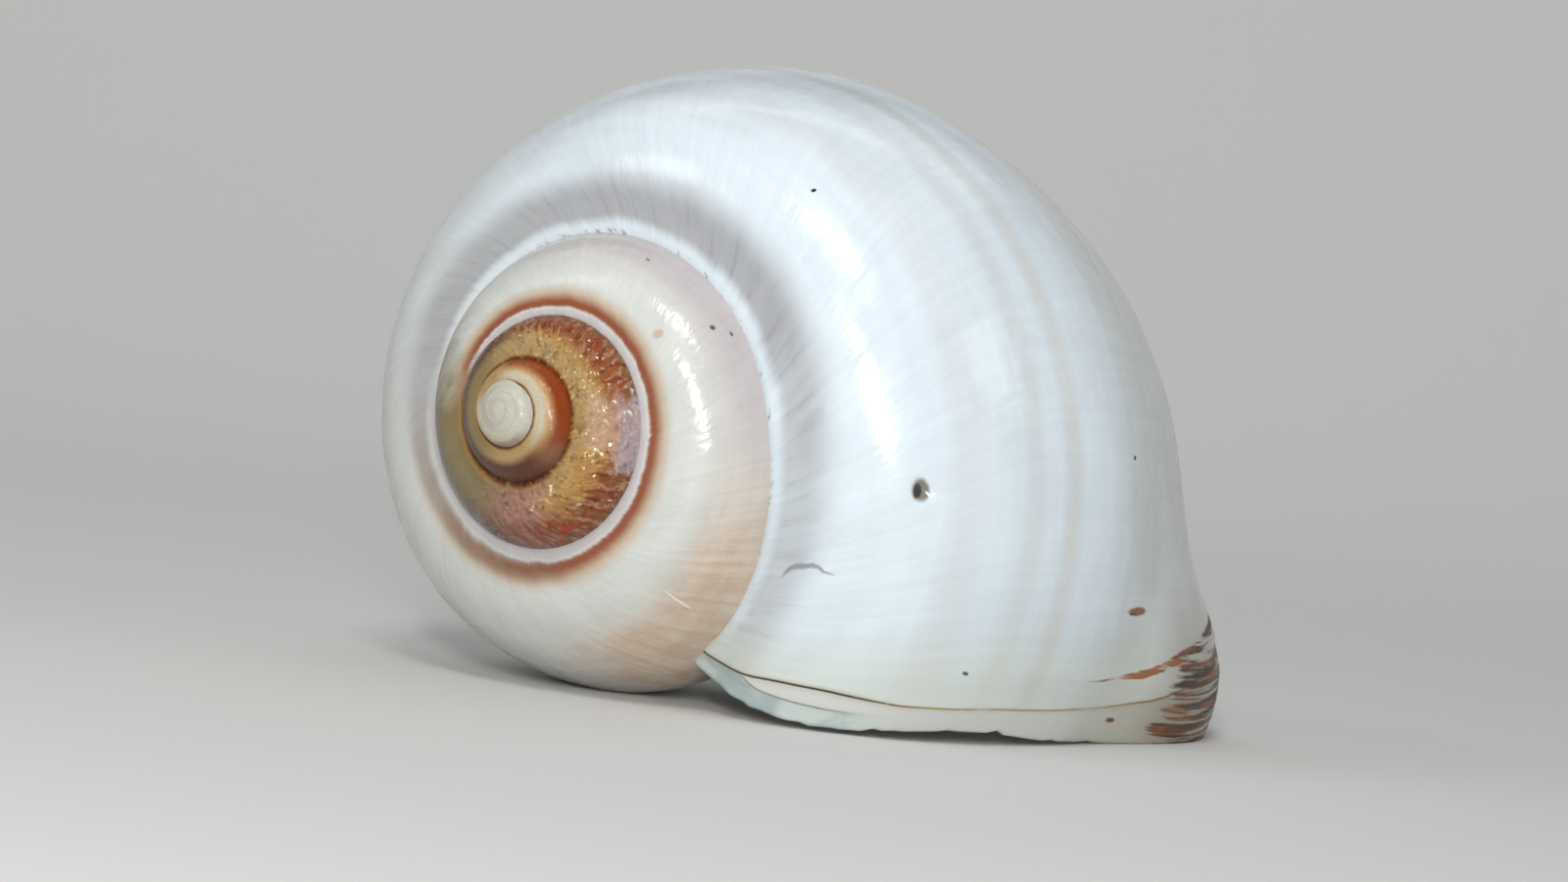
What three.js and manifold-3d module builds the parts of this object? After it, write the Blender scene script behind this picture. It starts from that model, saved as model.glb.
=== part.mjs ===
// Moon snail shell: one coiled shell, hollow from the mouth inwards.
// Millimetres, +Z up. The shell lies mouth down, on its lip and on the belly of the last whorl.
import * as THREE from 'three';
import { mergeVertices } from 'three/addons/utils/BufferGeometryUtils.js';
import Module from 'manifold-3d';

const wasm = await Module();
wasm.setup();
const { Manifold, Mesh } = wasm;

// ---- size and coiling: lengths below are in units of the seam's radius at turn 0 ----
const unitMm = 17.0;
const growth = 0.1038;              // how fast each whorl widens, per radian of coiling
const spireDrop = 0.7753;           // depth of the seam below the apex at turn 0
const dropGrowth = 0.0854;          // how fast that depth grows, per radian
const firstTurn = -24;              // where the coil starts, radians
const tipRadius = 0.12;             // round nucleus at the apex
const tipDepth = 0.20;

// ---- outline of one whorl ----
const tubeCentre = [1.13, -1.30];   // from the coiling axis, and below the seam
const tubeRadius = 1.0986;
const swellings = [                 // extra reach, and the direction it faces in degrees
  [0.036, 234],
  [0.241, 92.6],
  [0.044, 29.8],
  [0.0475, -4.2],
];
const pillarReach = 0.10;           // the pillar closes in on the axis, leaving a narrow navel
const pillarFacing = 205;
const pillarWidth = 45;

// ---- the mouth ----
const lipTurn = 0.70;               // where the outer lip ends, radians of coiling
const lipUpperLead = 0.41;          // the lip runs ahead towards the seam
const pillarLead = 0.85;            // and further ahead beside the pillar
const flareReach = 0.47;            // outward flare of the front of the lip
const flareFacing = -72;
const flareWidth = 34;
const flareStart = 0.427;
const flareEase = 0.085;
const seamDrop = 0.217;             // the seam slides away from the apex over the last stretch
const seamFacing = 105;
const seamWidth = 32;

// ---- the wall ----
const wall = 0.105;
const lipWall = 0.06;               // thinner at the very edge
const pillarWall = 0.15;            // extra thickness of the pillar round the axis
const coat = 0.02;                  // smooth coat laid over the earlier whorl inside the mouth
const hollowHalfTurns = 3;          // how far in the hollow is made
const navelProfile = [[0, -2.3], [0.34, -2.25], [0.25, -1.6], [0.12, -0.7], [0, -0.3]];

// ---- how it lies ----
const upAsCoiled = [0.1105, 0.994, 0.023];   // the upward direction, in the frame of the coiling axis
const apexTowards = [-0.61, -0.79];          // plan direction of the apex once laid down
const wornFlat = 0.3;                        // mm rubbed off where it touches the table

// ---- facets ----
const stepsPerHalfTurn = 14;
const pointsRound = 26;
const plugLength = 0.06;            // each stretch reaches this far into the next, radians
const plugInset = 0.25;
const facetSlack = 0.03;            // mm

const TURN = Math.PI * 2;
const rad = (deg) => deg * Math.PI / 180;
const wrap = (a) => Math.atan2(Math.sin(a), Math.cos(a));
const hump = (a, width) => Math.exp(-((wrap(a) / width) ** 2));
const ease = (x) => 1 / (1 + Math.exp(-x));
const smooth = (x, a, b) => {
  const t = Math.min(1, Math.max(0, (x - a) / (b - a)));
  return t * t * (3 - 2 * t);
};

// Reach of the whorl outline from its centre, in the direction u round the section.
function outline(u) {
  let reach = tubeRadius + pillarReach * hump(u - rad(pillarFacing), rad(pillarWidth));
  swellings.forEach(([size, facing], i) => {
    reach += size * Math.cos((i + 1) * (u - rad(facing)));
  });
  return reach;
}

// Coiling angle at which the lip ends, in the direction u.
function lipAt(u) {
  const a = wrap(u);
  const side = Math.min(1 - Math.cos(a), 1.3);
  const upper = lipUpperLead * ease(a / 0.15) * side ** 1.82;
  const down = (a > 0 ? TURN - a : -a) * 180 / Math.PI;
  const pillar = pillarLead * smooth(down, 80, 165) * smooth(down, 265, 230);
  return lipTurn + upper + pillar;
}

// A point of the shell: coiling angle, direction round the section, depth below the outside.
function shellPoint(turn, u, depth) {
  const flare = flareReach * ease((turn - flareStart) / flareEase)
    * hump(u - rad(flareFacing), rad(flareWidth));
  const drop = seamDrop * smooth(turn, -0.1, 1.5) * hump(u - rad(seamFacing), rad(seamWidth));
  const reach = outline(u) + flare - drop - depth;
  const size = Math.exp(growth * turn);
  const out = size * (tubeCentre[0] + reach * Math.cos(u));
  const seamZ = -spireDrop * Math.exp(dropGrowth * turn);
  const along = seamZ + size * (tubeCentre[1] + reach * Math.sin(u));
  return [out * Math.cos(turn) * unitMm, -out * Math.sin(turn) * unitMm, along * unitMm];
}

// Wall thickness in the direction u, at a distance behind the lip.
function wallAt(u, behind) {
  const pillar = pillarWall * hump(u - rad(pillarFacing), rad(pillarWidth));
  return lipWall + (wall - lipWall) * smooth(behind, 0, 0.35) + pillar;
}

function solidFrom(points, faces) {
  return new Manifold(new Mesh({
    numProp: 3,
    vertProperties: new Float32Array(points),
    triVerts: new Uint32Array(faces),
  }));
}

// One stretch of the whorl as a closed solid. Its ends taper into the stretches beside it.
function stretch(from, endAt, steps, depth, openEnd = false) {
  const points = [];
  const faces = [];
  const last = steps + (openEnd ? 0 : 1);
  for (let i = -1; i <= last; i++) {
    const plug = i < 0 ? -1 : i > steps ? 1 : 0;
    const share = Math.min(steps, Math.max(0, i)) / steps;
    for (let j = 0; j < pointsRound; j++) {
      const u = TURN * j / pointsRound;
      const turn = from + (endAt(u) - from) * share;
      const inset = plug === 0 ? 0 : plugInset;
      points.push(...shellPoint(turn + plug * plugLength, u, depth(u, turn) + inset));
    }
  }
  const at = (i, j) => (i + 1) * pointsRound + j % pointsRound;
  for (let i = -1; i < last; i++) {
    for (let j = 0; j < pointsRound; j++) {
      faces.push(at(i, j), at(i, j + 1), at(i + 1, j));
      faces.push(at(i + 1, j), at(i, j + 1), at(i + 1, j + 1));
    }
  }
  const startMiddle = points.length / 3;
  points.push(...shellPoint(from - plugLength, 0, outline(0)));
  points.push(...shellPoint(endAt(0) + (openEnd ? 0 : plugLength), 0, outline(0)));
  for (let j = 0; j < pointsRound; j++) {
    faces.push(startMiddle, at(-1, j + 1), at(-1, j));
    faces.push(startMiddle + 1, at(last, j), at(last, j + 1));
  }
  return solidFrom(points, faces);
}

// The outside of the whorl between two coiling angles.
const whorl = (from, to, steps) => stretch(from, () => to, steps, () => 0);

// The room inside the whorl, kept clear of the coated whorl that lies one turn earlier.
function room(from, to, steps, endAt) {
  const inside = stretch(from, endAt, steps, (u, turn) => wallAt(u, lipAt(u) - turn));
  const coated = stretch(from - TURN - 0.15, () => to - TURN + 0.15, steps + 2, () => -coat);
  return inside.subtract(coated);
}

// Solid core that fills the navel above its shallow open end.
function pillarCore() {
  const profile = navelProfile.map(([r, z]) => new THREE.Vector2(r * unitMm, z * unitMm));
  const lathe = new THREE.LatheGeometry(profile, 20).rotateX(Math.PI / 2);
  lathe.deleteAttribute('uv');
  lathe.deleteAttribute('normal');
  const turned = mergeVertices(lathe, 1e-3);
  return solidFrom(turned.attributes.position.array, turned.index.array);
}

// Turns the shell from its coiling axis to the way it lies.
function restingTransform() {
  const up = new THREE.Vector3(...upAsCoiled).normalize();
  const side = new THREE.Vector3(0, 0, 1).cross(up).normalize();
  const axisFlat = new THREE.Vector3().crossVectors(up, side);
  const ahead = new THREE.Vector3(...apexTowards, 0).normalize();
  const right = new THREE.Vector3(ahead.y, -ahead.x, 0);
  const asCoiled = new THREE.Matrix4().makeBasis(side, axisFlat, up).transpose();
  return new THREE.Matrix4().makeBasis(right, ahead, new THREE.Vector3(0, 0, 1)).multiply(asCoiled);
}

// Coiling angles where the stretches meet, from the mouth inwards.
const marks = [0.2, -2.14];
while (marks.at(-1) - Math.PI > firstTurn) marks.push(marks.at(-1) - Math.PI);
marks.push(firstTurn);
const stepsOf = (i) => (i === 1 ? 11 : stepsPerHalfTurn);

const grown = [stretch(marks[0], lipAt, 7, () => 0, true)];
for (let i = 1; i < marks.length; i++) grown.push(whorl(marks[i], marks[i - 1], stepsOf(i)));
const tip = Manifold.sphere(tipRadius * unitMm, 20).translate([0, 0, -tipDepth * unitMm]);
const solid = Manifold.union([...grown, pillarCore(), tip]);

const rooms = [room(marks[0], 2.0, 8, (u) => lipAt(u) + 0.25)];
for (let i = 1; i <= hollowHalfTurns; i++) {
  rooms.push(room(marks[i], marks[i - 1], stepsOf(i), () => marks[i - 1]));
}
const pieces = solid.subtract(Manifold.union(rooms)).decompose();
const shell = pieces.sort((a, b) => b.volume() - a.volume())[0];

const laid = shell.transform(restingTransform().elements);
const box = laid.boundingBox();
const middle = [0, 1].map((axis) => -(box.min[axis] + box.max[axis]) / 2);
const worn = laid.translate([...middle, -box.min[2] - wornFlat]).trimByPlane([0, 0, 1], 0);
const mesh = worn.simplify(facetSlack).getMesh();

const geometry = new THREE.BufferGeometry();
geometry.setAttribute('position', new THREE.BufferAttribute(new Float32Array(mesh.vertProperties), 3));
geometry.setIndex(Array.from(mesh.triVerts));
geometry.computeVertexNormals();
const glossy = new THREE.MeshStandardMaterial({ color: '#dfe3e1', roughness: 0.2, metalness: 0 });
const shellMesh = new THREE.Mesh(geometry, glossy);
shellMesh.name = 'shell';

const group = new THREE.Group();
group.name = 'moon_snail_shell';
group.add(shellMesh);
export default group;
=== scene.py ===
import math
from functools import partial

import bpy
import numpy as np
from mathutils import Matrix, Vector


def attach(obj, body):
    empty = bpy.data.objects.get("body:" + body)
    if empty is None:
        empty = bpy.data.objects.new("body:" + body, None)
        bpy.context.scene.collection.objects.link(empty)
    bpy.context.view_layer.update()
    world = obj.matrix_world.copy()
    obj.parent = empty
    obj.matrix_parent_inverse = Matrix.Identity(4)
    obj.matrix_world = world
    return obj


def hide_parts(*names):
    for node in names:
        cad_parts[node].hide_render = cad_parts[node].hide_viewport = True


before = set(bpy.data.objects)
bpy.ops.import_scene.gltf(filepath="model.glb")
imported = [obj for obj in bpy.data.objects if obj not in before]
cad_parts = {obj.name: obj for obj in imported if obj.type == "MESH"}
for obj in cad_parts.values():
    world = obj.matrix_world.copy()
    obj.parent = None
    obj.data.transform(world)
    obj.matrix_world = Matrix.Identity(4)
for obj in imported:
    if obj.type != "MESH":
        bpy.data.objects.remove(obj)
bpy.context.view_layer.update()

# A moon snail shell, lying mouth down on its lip and on the belly of the last whorl.
# The shell is one coiled wall. It is worked out from two parameters: turn, the coiling angle in
# radians, which grows towards the mouth, and facing, the direction round the whorl's section.

# ---- size and coiling: lengths are in units of the seam's radius at turn 0 ----
UNIT = 0.017                  # metres
GROWTH = 0.1038               # how fast each whorl widens, per radian of coiling
SPIRE_DROP = 0.7753           # depth of the seam below the apex at turn 0
DROP_GROWTH = 0.0854          # how fast that depth grows, per radian
NUCLEUS_DEPTH = 0.085         # the first whorls lie flat, this far below the cone's point
FIRST_TURN = -36.0            # where the coil starts, radians

# ---- outline of one whorl ----
TUBE_OUT, TUBE_DOWN = 1.13, -1.30          # its centre, from the coiling axis and below the seam
TUBE_RADIUS = 1.0986
SWELLINGS = [(0.036, 234), (0.241, 92.6), (0.044, 29.8), (0.0475, -4.2)]   # extra reach, facing
PILLAR_REACH, PILLAR_FACING, PILLAR_WIDTH = 0.10, 205, 45     # it closes in on the axis; degrees

# ---- the mouth ----
LIP_TURN, LIP_UPPER_LEAD, PILLAR_LEAD = 0.70, 0.41, 0.85      # where it ends, and how far it runs ahead
LIP_WEAR = 0.008                                              # reach that the chips are bitten out of
LIP_BELLY, LIP_BELLY_FACING, LIP_BELLY_WIDTH = 0.040, 78, 20  # extra reach beside the seam
CHIPS_BY_SEAM, CHIPS_IN_FRONT = (52, 90, 18), (-50, 44, 7)    # from and to, facing in degrees, and how many
FLARE_REACH, FLARE_FACING, FLARE_WIDTH = 0.47, -72, 34
FLARE_START, FLARE_EASE = 0.427, 0.085
SEAM_DROP, SEAM_FACING, SEAM_WIDTH = 0.217, 105, 32           # the seam slides away over the last stretch
PIT_TURN, PIT_FACING = 0.183, 65.0                            # a pit in the last whorl

# ---- the wall ----
WALL, LIP_WALL, PILLAR_WALL = 0.105, 0.042, 0.15
ROOM_TURNS = 9.2              # how far in the room is made, radians
LIP_ROWS_FROM = 0.3           # up to here a row is one coiling angle; after it the rows fan out to the lip

# ---- how it lies ----
UP_AS_COILED = (0.1105, 0.994, 0.023)      # the upward direction, in the frame of the coiling axis
APEX_TOWARDS = (-0.61, -0.79)              # plan direction of the apex
APEX_AT = (-0.02728, -0.02161, 0.02167)    # where the top of the coiling axis comes to lie

# ---- the camera ----
CAMERA_AT = (-0.02770, -0.35687, 0.03278)
CAMERA_AIM = (-0.00335, 0.0, 0.02091)
CAMERA_ROLL = 6.51            # degrees
CAMERA_LENS = 103.0           # mm, on a 36 mm sensor

TAU = 2 * math.pi


# ======== the shape ========

def wrapped(angle):
    """The same angle between -180 and 180 degrees, in radians."""
    return np.arctan2(np.sin(angle), np.cos(angle))


def hump(angle, width):
    """A smooth bump of height 1 at angle 0. Both are in radians."""
    return np.exp(-(wrapped(angle) / width) ** 2)


def ease(x):
    """A step from 0 to 1 round x = 0, never quite ending."""
    return 1 / (1 + np.exp(-x))


def smooth(x, start, end):
    """A step from 0 at start to 1 at end, with level ends."""
    t = np.clip((x - start) / (end - start), 0, 1)
    return t * t * (3 - 2 * t)


def outline(facing):
    """Reach of the whorl from its centre: a circle, the pillar's hump, and four waves round the section."""
    pillar = hump(facing - math.radians(PILLAR_FACING), math.radians(PILLAR_WIDTH))
    reach = TUBE_RADIUS + PILLAR_REACH * pillar
    for waves, (size, towards) in enumerate(SWELLINGS, start=1):
        reach = reach + size * np.cos(waves * (facing - math.radians(towards)))
    return reach


def grown_lip(facing):
    """Coiling angle where the lip ends: furthest back outside, leading to the seam and to the pillar."""
    a = wrapped(facing)
    side = np.minimum(1 - np.cos(a), 1.3)
    upper = LIP_UPPER_LEAD * ease(a / 0.15) * side ** 1.82
    down = np.degrees(np.where(a > 0, TAU - a, -a))
    pillar = PILLAR_LEAD * smooth(down, 80, 165) * smooth(down, 265, 230)
    return LIP_TURN + upper + pillar


def chips(facing):
    """Radians broken off the lip: a row of small shallow bites, most of them beside the seam."""
    rng = np.random.default_rng(11)
    lost = np.zeros_like(facing)
    for at in np.concatenate([rng.uniform(*CHIPS_BY_SEAM), rng.uniform(*CHIPS_IN_FRONT)]):
        depth = rng.uniform(0.004, 0.011)
        width = math.radians(rng.uniform(0.7, 1.8))
        lost = np.maximum(lost, depth * hump(facing - math.radians(at), width))
    return lost


def lip_at(facing):
    """Coiling angle where the chipped lip ends. It bellies out a little beside the seam."""
    belly = LIP_BELLY * hump(facing - math.radians(LIP_BELLY_FACING), math.radians(LIP_BELLY_WIDTH))
    return grown_lip(facing) + LIP_WEAR + belly - chips(facing)


# How far behind the lip two pauses in growth lie, in radians of coiling, by facing in degrees.
LAST_PAUSE = [
    (-90, 0.30), (-60, 0.22), (-49, 0.172), (-43.8, 0.152), (-35.2, 0.116), (-20.5, 0.092), (2, 0.082),
    (24, 0.064), (42, 0.058), (55.5, 0.066), (63.5, 0.083), (71, 0.097), (79.5, 0.092), (86, 0.062),
    (96, 0.058),
]
OLDER_PAUSE = [
    (-90, 0.36), (-59, 0.260), (-41, 0.212), (-29.5, 0.172), (-9.5, 0.156), (12, 0.144), (60, 0.15),
]


def pause_at(facing, pause):
    """Distance behind the lip of a pause in growth, smoothed between the places it is stated for."""
    where, distance = np.array(pause).T
    fine = np.arange(-90, 96.5, 0.5)
    level = np.interp(fine, where, distance)
    soft = np.convolve(np.pad(level, 6, mode="edge"), np.ones(13) / 13, mode="valid")
    return np.interp(np.degrees(facing), fine, soft)


def seam_facing(turn):
    """Direction in which the whorl meets the one before it, in radians."""
    return np.radians(96.7 + 0.09 * np.minimum(turn, 0) - 1.4 * smooth(turn, 0.0, 1.1))


def relief(turn, facing, behind):
    """Height of the fine shape over the plain whorl.

    A rounded rim lies on the earlier whorl, with a shallow gutter beside it. Growth leaves low waves that
    run the way the lip does, and faint spiral waves cross them. The shell steps down at its last pause in
    growth, and again at the margin, and rises a little at the older pause and at the corner of the flare.
    The stained third whorl is uneven: products and sums of sines that bend each other. One pit is sunk in
    the last whorl.
    """
    from_seam = facing - seam_facing(turn)
    rim = 0.016 * hump(from_seam + math.radians(0.6), math.radians(2.6))
    gutter = -0.009 * hump(from_seam + math.radians(6.5), math.radians(3.4))
    waves = sum(
        height * np.sin(pitch * behind + lean * np.sin(2.3 * facing + pitch))
        for height, pitch, lean in ((0.0012, 19, 1.1), (0.0009, 31, 0.7), (0.0006, 53, 0.9))
    )
    spiral = 0.0009 * np.sin(facing * 34) * hump(facing - math.radians(30), math.radians(40))
    pause = pause_at(facing, LAST_PAUSE)
    step = -0.010 * (1 - smooth(behind, pause - 0.012, pause + 0.004))
    margin = -0.006 * (1 - smooth(behind, 0.028, 0.036)) * smooth(facing, math.radians(52), math.radians(68))
    corner = 0.050 * ease((turn - 0.48) / 0.06) * hump(facing - math.radians(-50), math.radians(17))
    older = 0.005 * hump(behind - 0.155, 0.018) * smooth(facing, math.radians(60), math.radians(-10))
    pit = -0.036 * np.exp(-((turn - PIT_TURN) / 0.022) ** 2 - ((np.degrees(facing) - PIT_FACING) / 1.5) ** 2)
    outside = smooth(wrapped(facing), math.radians(-150), math.radians(-100))
    along = np.sin(31 * turn + 3.0 * np.sin(23 * facing))
    across = np.sin(41 * facing + 2.0 * np.sin(17 * turn))
    uneven = 0.0035 * along * across + 0.0025 * np.sin(47 * turn + 2.0 * np.sin(37 * facing))
    uneven = uneven * smooth(turn, -15.5, -13.5) * (1 - smooth(turn, -10.6, -9.6))
    grown = smooth(turn, -21.5, -18.0)
    coil = (rim + gutter + (waves + spiral) * outside) * grown
    return coil + (step + margin + older + uneven) * outside + pit + corner


def coiled(turn, facing, depth):
    """A point of the shell, with the coiling axis upright: turn carries the section round the axis and down,
    and scales it by e to the GROWTH * turn; facing and depth place the point in the section."""
    flare = FLARE_REACH * ease((turn - FLARE_START) / FLARE_EASE)
    flare = flare * hump(facing - math.radians(FLARE_FACING), math.radians(FLARE_WIDTH))
    drop = SEAM_DROP * smooth(turn, -0.1, 1.5)
    drop = drop * hump(facing - math.radians(SEAM_FACING), math.radians(SEAM_WIDTH))
    reach = outline(facing) + flare - drop - depth
    size = np.exp(GROWTH * turn)
    seam_depth = ((SPIRE_DROP * np.exp(DROP_GROWTH * turn)) ** 4 + NUCLEUS_DEPTH ** 4) ** 0.25
    out = size * (TUBE_OUT + reach * np.cos(facing))
    along = size * (TUBE_DOWN + reach * np.sin(facing)) - seam_depth
    return np.stack([out * np.cos(turn), -out * np.sin(turn), along], axis=-1) * UNIT


def laid_down(points):
    """The same points once the shell lies on its lip and belly. What would sink in is worn flat."""
    up = np.array(UP_AS_COILED) / np.linalg.norm(UP_AS_COILED)
    side = np.cross((0, 0, 1), up)
    side /= np.linalg.norm(side)
    ahead = np.array([*APEX_TOWARDS, 0]) / np.linalg.norm(APEX_TOWARDS)
    right = np.array([ahead[1], -ahead[0], 0])
    turned = np.stack([right, ahead, (0, 0, 1)], axis=1) @ np.stack([side, np.cross(up, side), up])
    placed = points @ turned.T + np.array(APEX_AT)
    placed[..., 2] = np.maximum(placed[..., 2], 0)
    return placed


def wall_at(facing, behind):
    """Thickness of the wall: thin at the lip, thick at the pillar."""
    pillar = PILLAR_WALL * hump(facing - math.radians(PILLAR_FACING), math.radians(PILLAR_WIDTH))
    return LIP_WALL + (WALL - LIP_WALL) * smooth(behind, 0, 0.35) + pillar


def spaced(places, crowding):
    """Values from the first place to the last, as crowded as the steps per unit given at each place."""
    fine = np.linspace(places[0], places[-1], 20001)
    density = np.interp(fine, sorted(places), [c for _, c in sorted(zip(places, crowding))])
    passed = np.concatenate([[0], np.cumsum((density[1:] + density[:-1]) / 2 * np.abs(np.diff(fine)))])
    return np.interp(np.linspace(0, passed[-1], round(passed[-1]) + 1), passed, fine)


def wall_rows():
    """The wall as one grid: up the outside to the lip, round its edge, and back along the inside.

    Gives turn, facing, depth, distance behind the lip and 1 where it is the inside, row by row.
    """
    facing = np.radians(spaced(
        (150, 103, 99, 88, 80, 62, 40, 0, -40, -90, -150, -210),
        (0.10, 0.15, 1.0, 0.95, 0.55, 0.55, 0.34, 0.26, 0.25, 0.2, 0.15, 0.1),
    )[:-1])
    lip = lip_at(facing)
    even = spaced((FIRST_TURN, -24, -12.6, -6.3, 0.1, 0.16, 0.21, LIP_ROWS_FROM),
                  (5, 12, 24, 38, 40, 90, 90, 60))
    share = spaced((0, 0.5, 1), (40, 55, 90))[1:, None]
    half_wall = wall_at(facing, 0) / 2
    edge = half_wall / np.maximum(TUBE_OUT + outline(facing) * np.cos(facing), 0.3)
    to_lip = LIP_ROWS_FROM + (lip - edge - LIP_ROWS_FROM) * share
    round_edge = np.radians(np.arange(30, 180, 30))[:, None]
    inward = 1 - spaced((0, 0.06, 0.3, 1), (300, 120, 90, 60))[:, None]
    inner_end = lip - ROOM_TURNS
    back = inner_end + (lip - edge - inner_end) * inward

    turn = np.concatenate([
        np.repeat(even[:, None], len(facing), axis=1),
        to_lip,
        lip - edge + edge * np.sin(round_edge),
        back,
    ])
    facing = np.broadcast_to(facing, turn.shape)
    behind = grown_lip(facing) - turn
    first_edge = len(even) + len(share)
    first_inner = first_edge + len(round_edge)
    depth = -relief(turn, facing, behind)
    depth[first_edge:first_inner] = depth[first_edge - 1] + half_wall * (1 - np.cos(round_edge))
    depth[first_inner:] = wall_at(facing, lip - turn)[first_inner:]
    depth[first_inner:first_inner + 3] = np.maximum(
        depth[first_inner:first_inner + 3], depth[first_edge - 1] + 2 * half_wall)
    inside = np.zeros_like(turn)
    inside[first_inner:] = 1
    return turn, facing, depth, behind, inside


# Profiles turned round the coiling axis: distance from it, and height along it.
NAVEL = [(0.0, -2.30), (0.20, -2.285), (0.34, -2.25), (0.25, -1.6), (0.12, -0.7), (0.0, -0.3)]
NUCLEUS = [(0.0, -0.30), (0.08, -0.26)] + [(r, -0.0832 - 2.9 * r ** 2) for r in np.linspace(0.130, 0.0, 21)]


def turned_rows(profile, sides=48):
    """A surface of revolution round the coiling axis, without the profile's two end points."""
    radius, along = np.array(profile[1:-1]).T
    angle = np.arange(sides) * TAU / sides
    ring = np.stack([np.cos(angle), np.sin(angle), np.zeros(sides)], axis=-1)
    return laid_down((radius[:, None, None] * ring + along[:, None, None] * np.array((0, 0, 1))) * UNIT)


def grid_faces(rows, columns, first=0):
    """Four-sided faces of a grid whose columns run all the way round."""
    i, j = np.meshgrid(np.arange(rows - 1), np.arange(columns), indexing="ij")
    beside = (j + 1) % columns
    corners = [i * columns + j, (i + 1) * columns + j, (i + 1) * columns + beside, i * columns + beside]
    return (np.stack(corners, axis=-1).reshape(-1, 4) + first).tolist()


def capped(rows, columns, first, start_point, end_point):
    """Three-sided faces from two end points to the first and the last row."""
    j = np.arange(columns)
    beside = (j + 1) % columns
    last = first + (rows - 1) * columns
    start = np.stack([np.full(columns, start_point), first + j, first + beside], axis=-1)
    end = np.stack([np.full(columns, end_point), last + beside, last + j], axis=-1)
    return start.tolist() + end.tolist()


def shell_piece():
    """The whole shell as one object: the coiled wall, the callus in the navel and the smooth first whorl."""
    turn, facing, depth, behind, inside = wall_rows()
    past = behind - pause_at(facing, LAST_PAUSE)
    older = behind - pause_at(facing, OLDER_PAUSE)
    grids = [laid_down(coiled(turn, facing, depth)), turned_rows(NAVEL), turned_rows(NUCLEUS)]
    poles = [(grids[0][0].mean(axis=0), grids[0][-1].mean(axis=0))]
    for profile in (NAVEL, NUCLEUS):
        poles.append(laid_down(np.array([(0, 0, profile[end][1]) for end in (0, -1)]) * UNIT))
    kept = {
        name: [values.ravel(), np.full(2, rest)]
        for name, values, rest in (
            ("turn", turn, FIRST_TURN), ("facing", np.degrees(facing), -100.0),
            ("behind", behind, 2.0), ("past", past, 2.0), ("older", older, 2.0))
    }
    for grid, place in zip(grids[1:], ({"turn": 0.0, "facing": -100.0}, {"turn": -27.0, "facing": 85.0})):
        for name in kept:
            kept[name].append(np.full(grid.shape[0] * grid.shape[1] + 2, place.get(name, 2.0)))

    points, faces, slot, first = [], [], [], 0
    inner = np.argmax(inside[:, 0]) - 1
    for number, (grid, ends) in enumerate(zip(grids, poles)):
        rows, columns = grid.shape[:2]
        count = rows * columns
        points += [grid.reshape(-1, 3), np.array(ends)]
        faces += grid_faces(rows, columns, first)
        faces += capped(rows, columns, first, first + count, first + count + 1)
        is_wall = number == 0
        lining = np.repeat(is_wall & (np.arange(rows - 1) >= inner), columns)
        slot += [lining, np.full(columns, False), np.full(columns, is_wall)]
        first += count + 2

    mesh = bpy.data.meshes.new("moon_snail_shell")
    mesh.from_pydata(np.concatenate(points), [], faces)
    mesh.polygons.foreach_set("material_index", np.concatenate(slot).astype(np.int32))
    mesh.polygons.foreach_set("use_smooth", np.ones(len(faces), dtype=bool))
    for name, values in kept.items():
        layer = mesh.attributes.new(name, "FLOAT", "POINT")
        layer.data.foreach_set("value", np.concatenate(values).astype(np.float32))
    mesh.validate()
    piece = bpy.data.objects.new("moon_snail_shell", mesh)
    bpy.context.collection.objects.link(piece)
    return piece


# ======== colours and materials ========

def colour(code):
    """A linear colour from its sRGB hex code."""
    parts = [int(code[i:i + 2], 16) / 255 for i in (1, 3, 5)]
    return (*[c / 12.92 if c <= 0.04045 else ((c + 0.055) / 1.055) ** 2.4 for c in parts], 1.0)


def node(tree, kind, *inputs, named=None, out=0, stops=None, **settings):
    """Adds one node with its settings. Inputs are values, hex colours or sockets of other nodes, in order or
    by name; stops are a ramp's places and colours. Gives back one of its outputs."""
    made = tree.nodes.new("ShaderNode" + kind)
    for name, value in settings.items():
        setattr(made, name, value)
    for key, value in [*enumerate(inputs), *(named or {}).items()]:
        if isinstance(value, bpy.types.NodeSocket):
            tree.links.new(value, made.inputs[key])
        else:
            made.inputs[key].default_value = colour(value) if isinstance(value, str) else value
    for i, (place, code) in enumerate(stops or []):
        at = made.color_ramp.elements[i] if i < 2 else made.color_ramp.elements.new(place)
        at.position, at.color = place, colour(code)
    return made.outputs[out] if made.outputs else None


def new_material(name):
    """An empty node material, and the function that adds nodes to it."""
    material = bpy.data.materials.new(name)
    material.use_nodes = True
    material.node_tree.nodes.clear()
    return material, partial(node, material.node_tree)


SOFT = {"interpolation_type": "SMOOTHSTEP"}        # a Map Range that starts and ends level
TIMES = {"operation": "MULTIPLY"}

MM_PER_RADIAN, MM_PER_DEGREE = 38.0, 0.33      # on the last whorl, along the coil and across it
FACET = 0.00028                                # metres, width of a glittering facet
BUMP = 0.0008                                  # metres, height of a full bump

# Pigments of the glaze and of the stains in it. Olive, oxblood and umber also stand in for painted shade.
PIGMENTS = {
    "bone": "#cac6b6", "ivory": "#c6bca4", "olive_and_shade": "#857550", "khaki": "#ae8f5e", "honey": "#b8863a",
    "chestnut": "#693a1a", "rust": "#8b3a08", "oxblood_and_shade": "#521c0a", "umber_and_shade": "#38241a",
    "rose": "#a87868", "peach": "#c8a28a", "mauve": "#b8aab0", "pearl": "#d1d3ce", "porcelain": "#d9e4eb",
    "slate": "#a6a6a8", "tan": "#cdcbc8",
}
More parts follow.
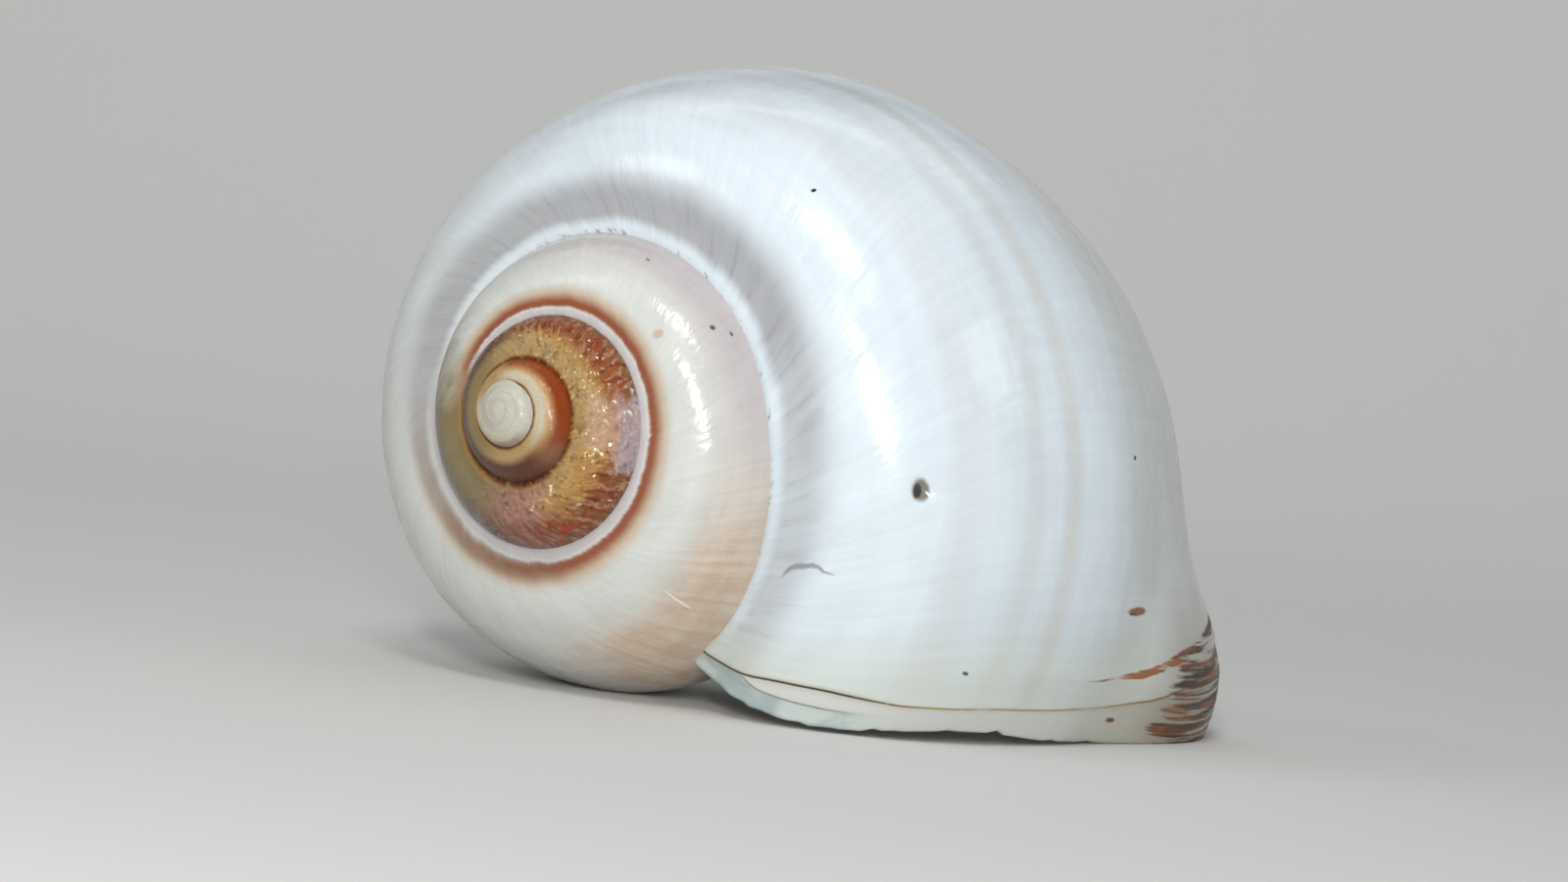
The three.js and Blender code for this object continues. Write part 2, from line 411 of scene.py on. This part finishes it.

# Ground colour of the whorl, by turn from the apex to the mouth; its olive is partly painted shade.
TURN_FROM, TURN_TO = -25.0, 2.0
GROUND = [
    (-24.4, "bone"), (-23.4, "ivory"), (-22.0, "ivory"), (-21.4, "khaki"), (-20.8, "khaki"),
    (-20.2, "ivory"), (-18.4, "ivory"), (-17.8, "khaki"), (-17.0, "khaki"), (-16.4, "olive_and_shade"),
    (-14.9, "olive_and_shade"), (-14.2, "khaki"), (-11.5, "khaki"), (-11.1, "rose"), (-10.8, "rose"),
    (-10.3, "olive_and_shade"), (-9.4, "olive_and_shade"), (-8.6, "pearl"), (-3.2, "pearl"), (-1.6, "porcelain"),
]

# Bands and stains laid over it, in order: pigment, strength, then the turns and the facings in degrees at
# which each one comes in, is full, starts to go and is gone.
BANDS = [
    # Edge of the nucleus.
    ("chestnut", 0.40, (-24.5, -23.9, -23.4, -23.1), (-201, -200, 58, 68)),
    # Stained edge of the next whorl; then the second whorl turns dark brown, except beside its earlier seam.
    ("honey", 0.8, (-20.8, -20.4, -18.2, -17.4), (54, 66, 70, 82)),
    ("rust", 1.0, (-20.8, -20.4, -18.4, -17.6), (-201, -200, 58, 75)),
    ("oxblood_and_shade", 0.95, (-18.5, -17.6, -14.9, -14.1), (-201, -200, 70, 84)),
    ("umber_and_shade", 0.25, (-17.2, -16.4, -14.9, -14.2), (-201, -200, 66, 80)),
    # Stains on the third whorl; the umber is painted shade where it curves down into its later seam.
    ("honey", 0.5, (-14.4, -13.6, -12.9, -12.6), (52, 62, 72, 86)),
    ("rust", 0.8, (-14.8, -14.0, -11.3, -10.8), (36, 52, 62, 75)),
    ("umber_and_shade", 0.5, (-14.9, -14.2, -9.4, -8.6), (-201, -200, 40, 56)),
    ("honey", 0.65, (-12.10, -12.02, -11.4, -11.0), (58, 68, 78, 90)),
    # Its bare patch.
    ("peach", 0.65, (-12.85, -12.6, -12.12, -12.05), (50, 60, 74, 86)),
    ("mauve", 0.75, (-12.85, -12.6, -12.12, -12.05), (-201, -200, 53, 64)),
    # Darker brown on the side of the spire turned from the light: partly stain, partly painted shade.
    ("umber_and_shade", 0.85, (-11.1, -10.2, -9.4, -8.6), (-201, -200, 54, 80)),
    # Dark line beside the earlier seam: orange-brown stain, deepened with painted shade of the seam.
    ("honey", 0.6, (-23.6, -23.0, -9.4, -8.6), (89, 92.5, 200, 201)),
    ("oxblood_and_shade", 0.9, (-23.4, -22.6, -9.4, -8.6), (91, 95, 200, 201)),
    # The whorl before the last.
    ("tan", 0.7, (-9.4, -8.6, -3.2, -2.4), (-201, -200, 50, 72)),
    ("mauve", 0.5, (-9.4, -8.6, -3.2, -2.4), (92.6, 94, 200, 201)),
    ("honey", 0.55, (-9.4, -8.7, -4.4, -3.0), (81, 87.5, 89, 93.5)),
    ("rust", 0.9, (-9.4, -8.7, -5.0, -3.6), (85.5, 90.5, 91.4, 93)),
    ("chestnut", 0.5, (-5.2, -4.4, -3.3, -2.4), (83.5, 88, 90, 93)),
    # Grey band of the last whorl.
    ("slate", 0.9, (-3.6, -2.6, -0.6, 0.8), (78, 88.5, 92, 95.2)),
    ("slate", 0.45, (-0.6, 0.8, 3, 4), (80, 90, 92, 95.2)),
    # Its belly and its spiral bands.
    ("pearl", 0.7, (-3.2, -2.4, 3, 4), (-201, -200, -25, 8)),
    ("tan", 0.55, (-3.2, -2.4, 3, 4), (16.5, 21.5, 22.5, 28)),
    ("tan", 0.35, (-3.2, -2.4, 3, 4), (30.5, 35.5, 36.5, 42)),
    ("tan", 0.25, (-3.2, -2.4, 3, 4), (48, 54, 56, 62)),
]

# Small marks: turn, facing in degrees, half-lengths along the coil (radians) and across it (degrees),
# colour and strength.
MARKS = [
    (0.183, 65.2, 0.031, 1.80, "#7d766d", 0.95),     # the pit
    # Its dark core: the pit's colour, deepened with painted shade of the hollow.
    (0.186, 66.0, 0.020, 0.80, "#35302c", 0.9),
    (-0.753, 66.5, 0.008, 0.8, "#1a1818", 1.0),      # black dots
    (0.045, -10.0, 0.006, 1.0, "#2a2626", 0.9),
    (0.590, 45.0, 0.005, 0.9, "#3a3532", 0.9),
    (-7.30, 57.0, 0.020, 0.9, "#5a4a4c", 0.8),
    (-6.75, 57.0, 0.016, 1.2, "#4a3a44", 0.9),
    (-6.70, 50.0, 0.014, 0.8, "#4a3f3c", 0.8),
    (0.388, -18.0, 0.010, 6.2, "#865420", 1.0),      # brown stain
    (0.394, -16.0, 0.004, 2.4, "#4a280c", 0.9),
    (0.644, -22.2, 0.007, 2.0, "#6b3c12", 1.0),      # small stain at the lip
    (-5.330, 56.5, 0.006, 7.0, "#efeae0", 0.75),     # pale scratch
    (-11.30, 56.0, 0.100, 4.0, "#a8330a", 0.9),      # orange-red spot
    (-6.82, 78.0, 0.030, 2.2, "#b9905c", 0.5),
]


def glazed_aragonite():
    """Outer shell: dense aragonite laid down in fine layers, naturally glazed.

    It gives the eye a wet porcelain gloss over faint growth lines and spiral bands, rust-brown bands beside
    the seam of the older whorls, and a pitted, sugary glitter on the stained ones near the apex. Painted
    shade deepens the older whorls by their seams and on the side turned from the light, and greys the flare.
    """
    material, add = new_material("glazed_aragonite")
    turn = add("Attribute", attribute_name="turn", out="Fac")
    facing = add("Attribute", attribute_name="facing", out="Fac")
    behind = add("Attribute", attribute_name="behind", out="Fac")
    # Millimetres on the last whorl: back along the coil from the lip, and across the whorl.
    along_mm = add("Math", behind, MM_PER_RADIAN, **TIMES)
    on_shell = add("CombineXYZ", along_mm, add("Math", facing, MM_PER_DEGREE, **TIMES))

    def grain(along, across, detail, seed=0.0):
        """Noise whose features are about this many millimetres long each way."""
        place = add("Mapping", on_shell, (seed, seed * 1.7, 0), (0, 0, 0), (1 / along, 1 / across, 1))
        return add("TexNoise", named={"Vector": place, "Scale": 1.0, "Detail": detail, "Roughness": 0.6},
                   noise_dimensions="2D")

    def inside(value, coming, full, going, gone):
        """One between two fades and nought outside them."""
        rise = add("MapRange", value, coming, full, **SOFT)
        fall = add("MapRange", value, gone, going, **SOFT)
        return add("Math", rise, fall, **TIMES)

    broad = grain(9.0, 60.0, 2.0)
    streaks = grain(1.1, 30.0, 5.0, 3.1)
    spiral = grain(70.0, 2.0, 3.0, 7.7)
    clouds = grain(9.0, 5.0, 4.0, 5.3)

    # The colours across the whorl, a little wavy, at each age.
    wander = add("MapRange", broad, 0.3, 0.7, -0.35, 0.35, **SOFT)
    feather = add("MapRange", streaks, 0.3, 0.7, -0.14, 0.14, **SOFT)
    wavy = add("Math", add("Math", facing, wander), feather)
    across = add("MapRange", wavy, -100.0, 100.0)
    ragged = add("MapRange", clouds, 0.3, 0.7, -0.10, 0.10, **SOFT)
    age = add("Math", turn, add("Math", ragged, add("MapRange", turn, -20.0, -15.0), **TIMES))
    ages = [((place - TURN_FROM) / (TURN_TO - TURN_FROM), PIGMENTS[name]) for place, name in GROUND]
    base = add("ValToRGB", add("MapRange", age, TURN_FROM, TURN_TO), stops=ages)
    for name, strength, turns, facings in BANDS:
        share = add("Math", inside(age, *turns), inside(wavy, *facings), **TIMES)
        share = add("Math", share, strength, **TIMES)
        base = add("MixRGB", share, base, PIGMENTS[name])

    # The third whorl: rust blotches towards the later seam, dark lines that run the way the lip did,
    # and amber ridges with pale furrows between them.
    third = inside(turn, -15.0, -14.0, -10.8, -10.0)
    below_rim = add("MapRange", facing, 80.0, 62.0, **SOFT)
    rust = add("MapRange", grain(3.0, 4.5, 5.0, 11.0), 0.47, 0.56, 0.0, 0.8, **SOFT)
    from_patch = add("Math", add("Math", turn, 12.45), operation="ABSOLUTE")
    stained = add("Math", third, add("MapRange", from_patch, 0.34, 0.46, **SOFT), **TIMES)
    stained = add("Math", stained, below_rim, **TIMES)
    rust = add("Math", rust, stained, **TIMES)
    base = add("MixRGB", rust, base, "#8c360c")
    dark = add("MapRange", grain(0.9, 9.0, 4.0, 13.0), 0.56, 0.66, 0.0, 0.7, **SOFT)
    dark = add("Math", dark, stained, **TIMES)
    base = add("MixRGB", dark, base, "#4e2214")
    pale = add("MapRange", grain(2.6, 5.0, 5.0, 19.0), 0.55, 0.66, 0.0, 0.4, **SOFT)
    base = add("MixRGB", add("Math", pale, third, **TIMES), base, "#c6a878")
    bent = add("Math", facing, -0.006, turn, operation="MULTIPLY_ADD")
    furrow = add("Math", add("MapRange", clouds, 0.3, 0.7, -0.05, 0.05), bent)
    furrow = add("Math", add("Math", furrow, 31.4, 1.38, operation="MULTIPLY_ADD"), operation="SINE")
    ridged = inside(turn, -12.08, -11.98, -11.5, -11.3)
    ridged = add("Math", ridged, add("MapRange", facing, 76.0, 66.0, **SOFT), **TIMES)
    furrow = add("Math", add("MapRange", furrow, 0.55, 0.95, 0.0, 0.45, **SOFT), ridged, **TIMES)
    base = add("MixRGB", furrow, base, "#b89a78")

    # The whorl before the last: mauve beside the later seam, then a peach-brown patch towards the belly.
    mauve = inside(turn, -8.6, -7.4, -6.5, -5.7)
    mauve = add("Math", mauve, add("MapRange", facing, 74.0, 54.0, 0.0, 0.50, **SOFT), **TIMES)
    base = add("MixRGB", mauve, base, "#b5a6ac")
    peach = inside(turn, -6.3, -5.5, -5.0, -4.5)
    peach = add("Math", peach, inside(facing, -30.0, 5.0, 54.0, 72.0), **TIMES)
    peach = add("Math", peach, 0.7, **TIMES)
    streaky = add("MapRange", add("Math", clouds, streaks), 0.85, 1.15)
    peach_tone = add("MixRGB", streaky, "#cba684", "#d2bda2")
    base = add("MixRGB", peach, base, peach_tone)

    # Growth streaks everywhere, and fine spiral lines over them.
    tone = add("Math", add("MapRange", streaks, 0.30, 0.72, 0.972, 1.016, **SOFT),
               add("MapRange", spiral, 0.30, 0.72, 0.975, 1.01, **SOFT), **TIMES)
    tone = add("Math", tone, add("MapRange", clouds, 0.30, 0.70, 0.965, 1.015, **SOFT), **TIMES)
    base = add("MixRGB", 1.0, base, add("CombineXYZ", tone, tone, tone), blend_type="MULTIPLY")
    band = inside(facing, 82.0, 87.0, 92.0, 94.0)
    blotches = add("MapRange", grain(2.6, 9.0, 3.0, 41.0), 0.48, 0.72, 0.0, 0.22, **SOFT)
    band = add("Math", band, blotches, **TIMES)
    band = add("Math", band, add("MapRange", turn, -4.0, -2.0, **SOFT), **TIMES)
    base = add("MixRGB", band, base, "#7f7c82")

    # The lip: greenish shell, then the dark line of the last pause, a pale strip and a thin bluish margin.
    past = add("Attribute", attribute_name="past", out="Fac")
    fresh = add("MapRange", behind, 0.34, 0.10, 0.0, 0.5, **SOFT)
    base = add("MixRGB", fresh, base, "#c9ccba")
    newest = add("ValToRGB", across, stops=[
        (0.25, "#a69f88"), (0.50, PIGMENTS["pearl"]), (0.97, PIGMENTS["tan"])])
    base = add("MixRGB", add("MapRange", past, 0.003, -0.006, 0.0, 0.9, **SOFT), base, newest)
    by_seam = add("MapRange", facing, 50.0, 66.0, **SOFT)
    margin = add("MapRange", facing, 80.0, 88.0, 0.033, 0.066, **SOFT)
    from_margin = add("Math", behind, margin, operation="SUBTRACT")
    thin = add("MapRange", from_margin, 0.003, -0.003, 0.0, 0.95, **SOFT)
    thin_tone = add("MixRGB", add("MapRange", clouds, 0.38, 0.62, **SOFT), "#a2b4b3", "#c6cfcc")
    base = add("MixRGB", add("Math", thin, by_seam, **TIMES), base, thin_tone)
    second = add("Math", from_margin, operation="ABSOLUTE")
    second = add("MapRange", second, 0.0042, 0.0012, 0.0, 0.7, **SOFT)
    second = add("Math", second, inside(facing, 60.0, 70.0, 82.0, 89.0), **TIMES)
    base = add("MixRGB", second, base, "#6d665e")

    # The line of the last pause: thick and nearly black by the seam, golden and broken in front, brown at the
    # flare. The greys stand for its width, 0.01 radians at most.
    off = add("Math", past, operation="ABSOLUTE")
    line_width = add("ValToRGB", across, stops=[
        (0.0, "#7c7c7c"), (0.42, "#565656"), (0.74, "#565656"), (0.90, "#6e6e6e")])
    line = add("Math", off, add("Math", line_width, 0.05, **TIMES), operation="DIVIDE")
    line_tone = add("ValToRGB", across, stops=[
        (0.28, PIGMENTS["chestnut"]), (0.42, "#b2924a"), (0.74, "#b2924a"), (0.83, PIGMENTS["umber_and_shade"])])
    glow = add("MapRange", past, 0.020, 0.002, 0.0, 0.40, **SOFT)
    glow = add("Math", glow, add("MapRange", past, -0.004, 0.0), **TIMES)
    glow = add("Math", glow, add("MapRange", facing, 56.0, 70.0, **SOFT), **TIMES)
    base = add("MixRGB", glow, base, "#9c8a58")
    line_edge = add("MixRGB", 0.55, line_tone, "#b09a68")
    line_tone = add("MixRGB", add("MapRange", line, 0.25, 0.7, **SOFT), line_tone, line_edge)
    line_share = add("MapRange", line, 1.0, 0.35, 0.0, 0.95, **SOFT)
    broken = add("MapRange", grain(5.0, 3.5, 4.0, 17.0), 0.36, 0.50, 0.35, 1.0, **SOFT)
    whole = add("MapRange", facing, 58.0, 66.0, **SOFT)
    line_share = add("Math", line_share, add("Math", broken, whole, operation="MAXIMUM"), **TIMES)
    base = add("MixRGB", line_share, base, line_tone)

    # Brown skin left on an older pause, as streaks along the lip over the flare, and in a patch at the edge.
    older = add("Attribute", attribute_name="older", out="Fac")
    flared = add("MapRange", facing, -28.0, -44.0, **SOFT)
    # A purple-grey painted shade over the flare, growing towards the lip.
    shade = add("Math", flared, add("MapRange", behind, 0.42, 0.16, 0.0, 0.55, **SOFT), **TIMES)
    base = add("MixRGB", shade, base, "#8c7f74")
    on_older = add("MapRange", facing, -4.0, -46.0, 0.005, 0.026)
    on_older = add("Math", add("Math", older, operation="ABSOLUTE"), on_older, operation="DIVIDE")
    on_older = add("MapRange", on_older, 1.1, 0.3, **SOFT)
    on_older = add("Math", on_older, add("MapRange", facing, 14.0, -30.0, 0.55, 1.05), **TIMES)
    far_side = add("MapRange", facing, -100.0, -66.0, 0.25, 1.0, **SOFT)
    skin = add("Math", flared, far_side, **TIMES)
    skin = add("Math", skin, add("MapRange", older, 0.02, -0.02, **SOFT), **TIMES)
    skin = add("Math", add("Math", skin, 0.93, **TIMES), on_older, operation="MAXIMUM")
    patch = add("MapRange", facing, -28.0, -42.0, 0.0, 1.3)
    patch = add("Math", patch, inside(behind, 0.026, 0.036, 0.060, 0.074), **TIMES)
    skin = add("Math", skin, patch, operation="MAXIMUM")
    ragged = grain(0.7, 7.0, 5.0, 23.0)
    skin_share = add("MapRange", add("Math", skin, ragged, **TIMES), 0.36, 0.50, 0.0, 0.95, **SOFT)
    skin_tone = add("ValToRGB", grain(0.8, 5.0, 4.0, 29.0), stops=[
        (0.36, "#2e190b"), (0.48, "#4c2a0f"), (0.58, "#7a4618"), (0.70, "#8f6a38")])
    rusty = add("MapRange", older, -0.030, -0.014, 0.0, 0.75, **SOFT)
    rusty = add("Math", rusty, add("MapRange", facing, -48.0, -30.0), **TIMES)
    skin_tone = add("MixRGB", rusty, skin_tone, "#a8652a")
    base = add("MixRGB", skin_share, base, skin_tone)

    # A hooked grey scratch, and dirt in the last seam.
    hook = add("Math", facing, 80.0, operation="SUBTRACT")
    hook = add("Math", add("Math", hook, 3.0, operation="POWER"), 0.000125, 0.496, operation="MULTIPLY_ADD")
    hook = add("Math", hook, add("MapRange", grain(4.0, 1.2, 2.0, 53.0), 0.3, 0.7, -0.008, 0.008))
    off_hook = add("Math", add("Math", turn, hook, operation="SUBTRACT"), operation="ABSOLUTE")
    hook_width = add("MapRange", facing, 80.0, 88.0, 0.006, 0.022)
    off_hook = add("Math", off_hook, hook_width, operation="DIVIDE")
    hook_share = add("MapRange", off_hook, 1.1, 0.2, 0.0, 0.65, **SOFT)
    hook_share = add("Math", hook_share, inside(facing, 78.0, 80.0, 88.6, 89.8), **TIMES)
    base = add("MixRGB", hook_share, base, "#6d6872")
    in_seam = add("MapRange", facing, 95.4, 96.4, **SOFT)
    in_seam = add("Math", in_seam, add("MapRange", turn, -2.4, -1.4, **SOFT), **TIMES)
    specks = add("MapRange", grain(1.6, 1.0, 5.0, 37.0), 0.56, 0.66, 0.0, 0.7, **SOFT)
    dirt = add("Math", in_seam, specks, **TIMES)
    base = add("MixRGB", dirt, base, "#8d7a4c")

    place = add("CombineXYZ", turn, facing)
    for at_turn, at_facing, long_way, cross_way, code, strength in MARKS:
        offset = add("VectorMath", place, (at_turn, at_facing, 0), operation="SUBTRACT")
        offset = add("VectorMath", offset, (1 / long_way, 1 / cross_way, 0), operation="MULTIPLY")
        far = add("VectorMath", offset, out="Value", operation="LENGTH")
        far = add("Math", far, add("MapRange", clouds, 0.3, 0.7, -0.25, 0.25))
        base = add("MixRGB", add("MapRange", far, 1.15, 0.65, 0.0, strength, **SOFT), base, code)

    # Gloss: a smooth glaze, dull where brown skin is left. The stained whorls glitter with flat facets about
    # 0.3 mm wide, each leaning its own way. Growth lines 0.35 mm apart and 2 mm dimples break up highlights.
    position = add("TexCoord", out="Object")
    facets = add("TexVoronoi", named={"Vector": position, "Scale": 1 / FACET}, out="Color")
    from_centre = add("VectorMath", position, facets.node.outputs["Position"], operation="SUBTRACT")
    lean = add("VectorMath", facets, (0.5, 0.5, 0.5), operation="SUBTRACT")
    facets = add("VectorMath", from_centre, lean, out="Value", operation="DOT_PRODUCT")
    clusters = add("MapRange", grain(4.0, 5.0, 3.0, 47.0), 0.36, 0.62, 0.3, 1.0, **SOFT)
    wet = add("Math", add("MapRange", turn, -9.2, -10.4), 0.1, **TIMES)
    wet = add("Math", third, 0.9, wet, operation="MULTIPLY_ADD")
    wet = add("Math", add("Math", wet, clusters, **TIMES), 1.5 / BUMP, **TIMES)
    dimples = add("Math", grain(2.0, 2.6, 2.0, 43.0), 0.06, **TIMES)
    fine = add("Math", grain(0.35, 25.0, 3.0, 31.0), 0.011, dimples, operation="MULTIPLY_ADD")
    height = add("Math", facets, wet, fine, operation="MULTIPLY_ADD")
    normal = add("Bump", named={"Height": height, "Strength": 1.0, "Distance": BUMP})
    rough = add("MapRange", skin_share, 0.0, 1.0, 0.15, 0.5)
    rough = add("Math", rough, add("MapRange", clouds, 0.3, 0.7, -0.03, 0.05))
    rough = add("Math", rough, add("MapRange", turn, -9.4, -10.6, 0.0, -0.06))
    surface = add("BsdfPrincipled", named={
        "Base Color": base, "Roughness": rough, "IOR": 1.53, "Normal": normal,
        "Subsurface Weight": 0.10, "Subsurface Radius": (1.0, 0.9, 0.8), "Subsurface Scale": 0.0012})
    add("OutputMaterial", surface)
    return material


def mouth_lining():
    """Inside of the last whorl: bare lamellar shell, laid down smooth by the animal.

    It gives the eye an enamel-like gloss, cream white and a little brown inwards.
    """
    material, add = new_material("mouth_lining")
    behind = add("Attribute", attribute_name="behind", out="Fac")
    tint = add("ValToRGB", add("MapRange", behind, 0.0, 2.4), stops=[
        (0.0, "#cfdad4"), (0.08, "#dcd9cd"), (0.35, "#d0c2ae"), (1.0, "#a98c70")])
    position = add("TexCoord", out="Object")
    clouds = add("TexNoise", named={"Vector": position, "Scale": 1 / 0.006, "Detail": 4.0})
    tint = add("MixRGB", add("MapRange", clouds, 0.35, 0.65, 0.0, 0.5), tint, "#ddd5c8")
    surface = add("BsdfPrincipled", named={"Base Color": tint, "Roughness": 0.22, "IOR": 1.53})
    add("OutputMaterial", surface)
    return material


# ======== the studio ========

def studio_floor():
    """A round pale table whose rim curves up into a wall: a profile turned round the upright axis."""
    bend = np.radians(np.arange(0, 91, 5))
    radius = np.concatenate([[0.02, 0.2, 0.4], 0.6 + 0.8 * np.sin(bend)])
    height = np.concatenate([[0, 0, 0], 0.8 - 0.8 * np.cos(bend)])
    sides = 96
    angle = np.arange(sides) * TAU / sides
    points = np.stack([
        radius[:, None] * np.cos(angle), radius[:, None] * np.sin(angle),
        np.broadcast_to(height[:, None], (len(radius), sides))], axis=-1)
    faces = grid_faces(len(radius), sides)
    centre = [[sides - 1 - j for j in range(sides)]]
    mesh = bpy.data.meshes.new("studio_floor")
    mesh.from_pydata(points.reshape(-1, 3), [], [face[::-1] for face in faces] + centre)
    mesh.polygons.foreach_set("use_smooth", np.ones(len(faces) + 1, dtype=bool))
    floor = bpy.data.objects.new("studio_floor", mesh)
    bpy.context.collection.objects.link(floor)
    material, add = new_material("painted_table")
    surface = add("BsdfPrincipled", named={"Base Color": colour("#dcdcda"), "Roughness": 0.9})
    add("OutputMaterial", surface)
    mesh.materials.append(material)


def area_light(name, place, aim, size, watts):
    """A soft square light at a place, facing the aim."""
    light = bpy.data.lights.new(name, "AREA")
    light.shape, light.size, light.energy = "SQUARE", size, watts
    lamp = bpy.data.objects.new(name, light)
    lamp.location = place
    lamp.rotation_euler = (Vector(aim) - Vector(place)).to_track_quat("-Z", "Y").to_euler()
    bpy.context.collection.objects.link(lamp)


def studio_light():
    """Soft lights round the camera, three small ones for the glitter, weak side lights and a room light."""
    middle = (0, 0, 0.025)
    area_light("low_key_light", (-0.05, -0.46, 0.125), middle, 0.09, 0.38)
    for number, place in enumerate([(-0.055, -0.47, 0.14), (-0.085, -0.45, 0.20), (-0.015, -0.46, 0.075)]):
        area_light(f"spark_light_{number}", place, middle, 0.028, 0.33)
    area_light("high_key_light", (-0.06, -0.33, 0.40), middle, 0.12, 0.62)
    area_light("left_light", (-0.42, -0.17, 0.38), middle, 0.16, 0.24)
    area_light("right_light", (0.50, -0.22, 0.32), middle, 0.16, 0.16)
    area_light("table_light", (0.0, 0.25, 1.30), (0, 0.25, 0), 1.8, 4.0)
    area_light("wall_light", (0.0, 0.45, 0.90), (0, 1.4, 0.3), 0.8, 3.8)
    world = bpy.data.worlds.new("room_light")
    world.use_nodes = True
    world.node_tree.nodes["Background"].inputs["Color"].default_value = colour("#f2f4f6")
    world.node_tree.nodes["Background"].inputs["Strength"].default_value = 0.10
    bpy.context.scene.world = world
    bpy.context.scene.view_settings.view_transform = "Standard"


def main_camera():
    """A long lens close above the table, rolled a little about the line of sight."""
    camera = bpy.data.cameras.new("camera")
    camera.lens, camera.sensor_width = CAMERA_LENS, 36.0
    camera.clip_start, camera.clip_end = 0.01, 20.0
    holder = bpy.data.objects.new("camera", camera)
    look = Vector(CAMERA_AIM) - Vector(CAMERA_AT)
    turned = look.to_track_quat("-Z", "Y").to_matrix() @ Matrix.Rotation(math.radians(CAMERA_ROLL), 3, "Z")
    holder.matrix_world = Matrix.Translation(CAMERA_AT) @ turned.to_4x4()
    bpy.context.collection.objects.link(holder)
    bpy.context.scene.camera = holder


shell = shell_piece()
shell.data.materials.append(glazed_aragonite())
shell.data.materials.append(mouth_lining())
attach(shell, "root")
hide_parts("shell")

studio_floor()
studio_light()
main_camera()
